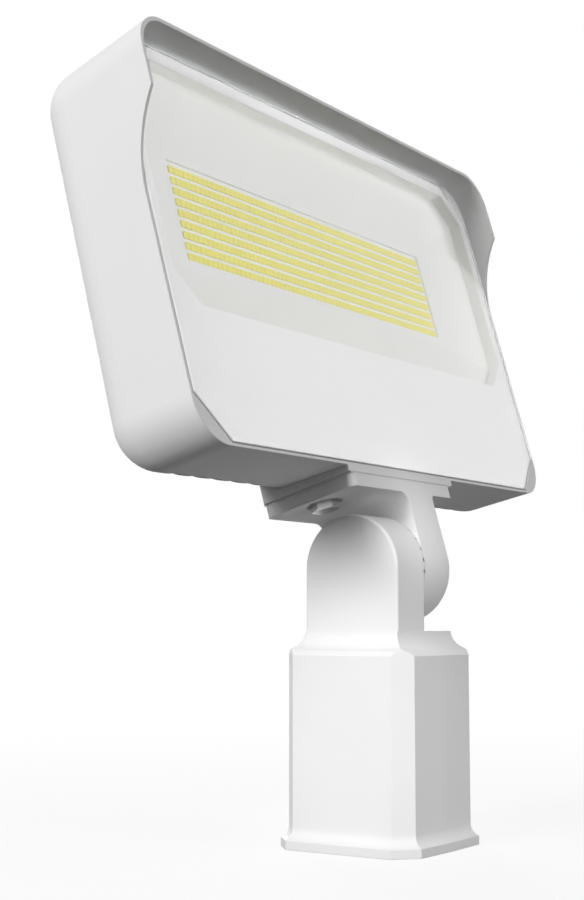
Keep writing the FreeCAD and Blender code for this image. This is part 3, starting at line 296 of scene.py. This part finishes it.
def board_white():
    """White solder mask, raised a little over the copper under it."""
    mask = Surface("solder_mask_white", (0.90, 0.90, 0.875), 0.35)
    copper = mask.noise(120.0, 1.0, (1.0, 1.0, 3.0))
    mask.vary_color(copper, (0.88, 0.88, 0.85))
    mask.vary_roughness(mask.noise(900.0), 0.30, 0.42)
    mask.bump(copper, 0.02 * MM)
    return mask.material


def thermal_sheet():
    sheet = Surface("thermal_sheet_grey", (0.52, 0.54, 0.57), 0.7)
    grain = sheet.noise(800.0, 4.0)
    sheet.vary_color(grain, (0.46, 0.48, 0.51))
    sheet.vary_roughness(grain, 0.62, 0.8)
    sheet.bump(grain, 0.02 * MM)
    return sheet.material


def led_phosphor():
    """Phosphor in silicone, cloudy and slightly grainy."""
    phosphor = Surface("phosphor_yellow", (0.88, 0.82, 0.04), 0.35)
    grain = phosphor.noise(5000.0, 2.0)
    phosphor.vary_color(phosphor.noise(420.0, 2.0), (0.89, 0.85, 0.07))
    phosphor.vary_roughness(grain, 0.28, 0.42)
    phosphor.bump(grain, 0.01 * MM)
    return phosphor.material


def brushed_metal(name, color, other, roughness):
    """Bare metal with a fine drawn grain."""
    metal = Surface(name, color, roughness, 1.0)
    metal.soften_edges(METAL_EDGE)
    grain = metal.noise(900.0, 3.0, (1.0, 1.0, 4.0))
    metal.vary_color(metal.noise(150.0), other)
    metal.vary_roughness(grain, roughness - GRAIN_SMOOTHER, roughness + METAL_GRAIN_ROUGHER)
    metal.bump(grain, 0.004 * MM)
    return metal.material


def steel():
    return brushed_metal("stainless_steel", (0.52, 0.52, 0.52), (0.46, 0.46, 0.47), 0.3)


def brass():
    return brushed_metal("brass", (0.74, 0.58, 0.29), (0.66, 0.50, 0.24), 0.3)


def driver_metal():
    return brushed_metal("folded_aluminium", (0.72, 0.73, 0.74), (0.66, 0.67, 0.68), 0.4)


def moulded(name, color, other, roughness, grains, depth):
    """A plain moulded or sintered stuff: grain in colour, gloss and relief."""
    stuff = Surface(name, color, roughness)
    grain = stuff.noise(grains, 3.0)
    stuff.vary_color(grain, other)
    stuff.vary_roughness(grain, roughness - GRAIN_SMOOTHER, roughness + PLASTIC_GRAIN_ROUGHER)
    stuff.bump(grain, depth)
    return stuff.material


def circuit_board():
    return moulded("solder_mask_green", (0.05, 0.22, 0.09), (0.07, 0.28, 0.12), 0.35, 260.0, 0.02 * MM)


def ferrite():
    return moulded("ferrite_grey", (0.10, 0.10, 0.105), (0.13, 0.13, 0.13), 0.55, 1200.0, 0.02 * MM)


def capacitor_sleeve():
    return moulded("sleeve_dark_blue", (0.05, 0.06, 0.10), (0.07, 0.08, 0.13), 0.3, 700.0, 0.005 * MM)


def red_wire():
    return moulded("insulation_red", (0.55, 0.05, 0.04), (0.48, 0.04, 0.035), 0.4, 900.0, 0.01 * MM)


def black_wire():
    return moulded("insulation_black", (0.03, 0.03, 0.03), (0.045, 0.045, 0.045), 0.4, 900.0, 0.01 * MM)


def block_plastic():
    return moulded("polyamide_natural", (0.78, 0.77, 0.72), (0.74, 0.73, 0.68), 0.5, 1100.0, 0.01 * MM)


FINISHES = [
    white_casting, clear_glass, white_print, seal_rubber, reflector_white, board_white, thermal_sheet,
    led_phosphor, steel, brass, driver_metal, circuit_board, ferrite, capacitor_sleeve, red_wire, black_wire,
    block_plastic,
]


def dress_nodes():
    """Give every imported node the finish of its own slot."""
    made = {finish.__name__: finish() for finish in FINISHES}
    for node in nodes.values():
        node.material_slots[0].material = made[node.material_slots[0].material.name]
    return made


# Pieces added to the head

def head_place():
    """From the upright head to its place on the tilted knuckle."""
    lift = Matrix.Translation((0.0, -AXIS_BEHIND_GLASS, AXIS_BELOW_GLASS_MIDDLE))
    tilt = Matrix.Rotation(-TILT_BACK, 4, "X")
    return Matrix.Translation((0.0, 0.0, KNUCKLE_HEIGHT)) @ tilt @ lift


def octagon(half_width, top, bottom, corner):
    """A rectangle with its four corners cut off, as eight points."""
    return [
        (half_width, top - corner), (half_width - corner, top),
        (corner - half_width, top), (-half_width, top - corner),
        (-half_width, bottom + corner), (corner - half_width, bottom),
        (half_width - corner, bottom), (half_width, bottom + corner),
    ]


def join_rings(bm, one, other):
    """Close the band between two rings of corners."""
    for k in range(len(one)):
        bm.faces.new((one[k], one[k - 1], other[k - 1], other[k]))


def add_head_piece(name, bm, material):
    """Turn a mesh drawn on the upright head into a piece that rides on the head."""
    bmesh.ops.recalc_face_normals(bm, faces=bm.faces)
    mesh = bpy.data.meshes.new(name)
    bm.to_mesh(mesh)
    bm.free()
    mesh.transform(head_place())
    mesh.materials.append(material)
    piece = bpy.data.objects.new(name, mesh)
    bpy.context.scene.collection.objects.link(piece)
    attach(piece, "head")
    return piece


# Print behind the glass

def part_print_from_glass():
    """Draw the print in by a hair, so that it doesn't share a face with the glass."""
    inset = nodes["lens_print"].modifiers.new("inset", "DISPLACE")
    inset.strength = -PRINT_GAP
    inset.mid_level = 0.0


# Ground edge of the glass

def glass_ring(bm, out, depth):
    """Corners of the glass's outline, moved out by a distance, at a depth behind the glass plane."""
    corner = GLASS_CORNER + CORNER_GROWTH * out
    outline = octagon(GLASS_HALF_WIDTH + out, GLASS_TOP + out, GLASS_BOTTOM - out, corner)
    return [bm.verts.new((x, depth, z)) for x, z in outline]


def ground_edge_piece():
    """A thin frosted film over the side and the bevel of the glass."""
    bm = bmesh.new()
    kink = GLASS_FRONT + GLASS_BEVEL
    rings = [
        glass_ring(bm, GROUND_NEAR, GLASS_BACK),
        glass_ring(bm, GROUND_NEAR, kink - GROUND_NEAR),
        glass_ring(bm, GROUND_NEAR - GLASS_BEVEL, GLASS_FRONT - GROUND_NEAR),
        glass_ring(bm, GROUND_FAR - GLASS_BEVEL, GLASS_FRONT - GROUND_FAR),
        glass_ring(bm, GROUND_FAR, kink - GROUND_FAR),
        glass_ring(bm, GROUND_FAR, GLASS_BACK),
    ]
    for one, other in zip(rings, rings[1:] + rings[:1]):
        join_rings(bm, one, other)
    add_head_piece("glass_ground_edge", bm, ground_glass())


# Light emitters

def chip_ring(bm, x, z, inset, depth):
    """Corners of a chip's outline, drawn in by an inset, at a depth behind the glass plane."""
    half_height = LED_HALF_HEIGHT - inset
    outline = octagon(LED_HALF_WIDTH - inset, half_height, -half_height, LED_CORNER)
    return [bm.verts.new((x + u, depth, z + v)) for u, v in outline]


def add_chip(bm, x, z):
    """A chip coated with phosphor on its front and sides, with a rounded front edge."""
    front = BOARD_FRONT - LED_THICKNESS
    rings = [
        chip_ring(bm, x, z, 0.0, BOARD_FRONT),
        chip_ring(bm, x, z, 0.0, front + LED_EDGE),
        chip_ring(bm, x, z, LED_EDGE, front),
    ]
    for outer, inner in zip(rings, rings[1:]):
        join_rings(bm, outer, inner)
    bm.faces.new(reversed(rings[0]))
    bm.faces.new(rings[-1])


def led_piece(made):
    """All chips of the board, as one piece in place of the plain ones."""
    bm = bmesh.new()
    for row in range(LED_ROWS):
        z = LED_FIELD_MIDDLE + (row - (LED_ROWS - 1) / 2) * LED_ROW_PITCH
        for column in range(LED_COLUMNS):
            add_chip(bm, (column - (LED_COLUMNS - 1) / 2) * LED_PITCH, z)
    piece = add_head_piece("light_emitters", bm, made["led_phosphor"])
    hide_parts("led_chips")


# Studio

def white_share(tree):
    """A value that is 1 for rays that show the background and 0 for rays that light the object."""
    path = tree.nodes.new("ShaderNodeLightPath")
    total = path.outputs["Is Camera Ray"]
    for ray in ("Is Glossy Ray", "Is Transmission Ray"):
        most = tree.nodes.new("ShaderNodeMath")
        most.operation = "MAXIMUM"
        tree.links.new(total, most.inputs[0])
        tree.links.new(path.outputs[ray], most.inputs[1])
        total = most.outputs["Value"]
    direct = tree.nodes.new("ShaderNodeMath")
    direct.operation = "LESS_THAN"
    direct.inputs[1].default_value = MATT_DEPTH
    tree.links.new(path.outputs["Diffuse Depth"], direct.inputs[0])
    share = tree.nodes.new("ShaderNodeMath")
    share.operation = "MULTIPLY"
    tree.links.new(total, share.inputs[0])
    tree.links.new(direct.outputs["Value"], share.inputs[1])
    return share.outputs["Value"]


def floor_glow(tree, shown):
    """How much the floor shows as plain white: less near the object, where its shadow lies."""
    place = tree.nodes.new("ShaderNodeTexCoord")
    distance = tree.nodes.new("ShaderNodeVectorMath")
    distance.operation = "LENGTH"
    fade = tree.nodes.new("ShaderNodeMapRange")
    fade.interpolation_type = "SMOOTHSTEP"
    fade.inputs["From Min"].default_value = FLOOR_FADE_NEAR
    fade.inputs["From Max"].default_value = FLOOR_FADE_FAR
    fade.inputs["To Min"].default_value = FLOOR_GLOW_NEAR
    share = tree.nodes.new("ShaderNodeMath")
    share.operation = "MULTIPLY"
    tree.links.new(place.outputs["Object"], distance.inputs[0])
    tree.links.new(distance.outputs["Value"], fade.inputs["Value"])
    tree.links.new(fade.outputs["Result"], share.inputs[1])
    tree.links.new(shown, share.inputs[0])
    return share.outputs["Value"]


def floor_material():
    """Pale floor that shows white and keeps a soft shadow."""
    material = bpy.data.materials.new("studio_floor")
    material.use_nodes = True
    tree = material.node_tree
    shader = tree.nodes["Principled BSDF"]
    shown = white_share(tree)
    tone = tree.nodes.new("ShaderNodeMix")
    tone.data_type = "RGBA"
    tone.inputs["A"].default_value = (FLOOR_TONE, FLOOR_TONE, FLOOR_TONE, 1.0)
    tone.inputs["B"].default_value = (FLOOR_SHOWN_TONE, FLOOR_SHOWN_TONE, FLOOR_SHOWN_TONE, 1.0)
    tree.links.new(shown, tone.inputs["Factor"])
    tree.links.new(tone.outputs["Result"], shader.inputs["Base Color"])
    shader.inputs["Roughness"].default_value = 1.0
    shader.inputs["Specular IOR Level"].default_value = 0.0
    glow = tree.nodes.new("ShaderNodeEmission")
    mix = tree.nodes.new("ShaderNodeMixShader")
    tree.links.new(floor_glow(tree, shown), mix.inputs["Fac"])
    tree.links.new(shader.outputs["BSDF"], mix.inputs[1])
    tree.links.new(glow.outputs["Emission"], mix.inputs[2])
    tree.links.new(mix.outputs["Shader"], tree.nodes["Material Output"].inputs["Surface"])
    return material


def floor():
    bm = bmesh.new()
    bmesh.ops.create_circle(bm, cap_ends=True, radius=FLOOR_REACH, segments=FLOOR_SIDES)
    mesh = bpy.data.meshes.new("floor")
    bm.to_mesh(mesh)
    bm.free()
    mesh.materials.append(floor_material())
    plane = bpy.data.objects.new("floor", mesh)
    bpy.context.scene.collection.objects.link(plane)


def world():
    """A white studio to look at, and a soft dome, with a tone for its top and its rim, to light by."""
    sky = bpy.data.worlds.new("studio")
    sky.use_nodes = True
    tree = sky.node_tree
    background = tree.nodes["Background"]
    place = tree.nodes.new("ShaderNodeTexCoord")
    parts = tree.nodes.new("ShaderNodeSeparateXYZ")
    dome = tree.nodes.new("ShaderNodeMapRange")
    dome.inputs["To Min"].default_value = SKY_RIM
    dome.inputs["To Max"].default_value = SKY_TOP
    mix = tree.nodes.new("ShaderNodeMix")
    mix.inputs["B"].default_value = 1.0
    tree.links.new(place.outputs["Generated"], parts.inputs["Vector"])
    tree.links.new(parts.outputs["Z"], dome.inputs["Value"])
    tree.links.new(dome.outputs["Result"], mix.inputs["A"])
    tree.links.new(white_share(tree), mix.inputs["Factor"])
    tree.links.new(mix.outputs["Result"], background.inputs["Strength"])
    background.inputs["Color"].default_value = (1.0, 1.0, 1.0, 1.0)
    bpy.context.scene.world = sky


def set_lamp(light, place, target, power):
    """Hang a light at a place and aim it at a target."""
    light.energy = power
    lamp = bpy.data.objects.new(light.name, light)
    lamp.location = place
    lamp.rotation_euler = (Vector(target) - Vector(place)).to_track_quat("-Z", "Y").to_euler()
    bpy.context.scene.collection.objects.link(lamp)


def soft_lamps():
    for name, (place, size, power) in LAMPS.items():
        light = bpy.data.lights.new("lamp_" + name, "AREA")
        light.shape = "DISK"
        light.size = size
        set_lamp(light, place, LAMP_TARGET, power)


def spot_lamps():
    for name, (place, target, cone, power) in SPOTS.items():
        light = bpy.data.lights.new("spot_" + name, "SPOT")
        light.shadow_soft_size = SPOT_SIZE
        light.spot_size = math.radians(cone)
        light.spot_blend = 1.0
        set_lamp(light, place, target, power)


def strip_lamps():
    for name, (place, target, spread, power) in STRIPS.items():
        light = bpy.data.lights.new("strip_" + name, "AREA")
        light.shape = "RECTANGLE"
        light.size = STRIP_LENGTH
        light.size_y = STRIP_WIDTH
        light.spread = math.radians(spread)
        set_lamp(light, head_place() @ Vector(place), head_place() @ Vector(target), power)


def camera():
    lens = bpy.data.cameras.new("camera")
    lens.lens = CAMERA_LENS
    lens.sensor_width = CAMERA_SENSOR
    lens.clip_start = CAMERA_NEAR
    eye = bpy.data.objects.new("camera", lens)
    eye.location = CAMERA_PLACE
    eye.rotation_euler = (CAMERA_LEVEL + CAMERA_RISE, 0.0, CAMERA_TURN)
    bpy.context.scene.collection.objects.link(eye)
    bpy.context.scene.camera = eye


camera()
led_piece(dress_nodes())
part_print_from_glass()
ground_edge_piece()
floor()
world()
soft_lamps()
spot_lamps()
strip_lamps()
bpy.context.scene.view_settings.view_transform = "Standard"
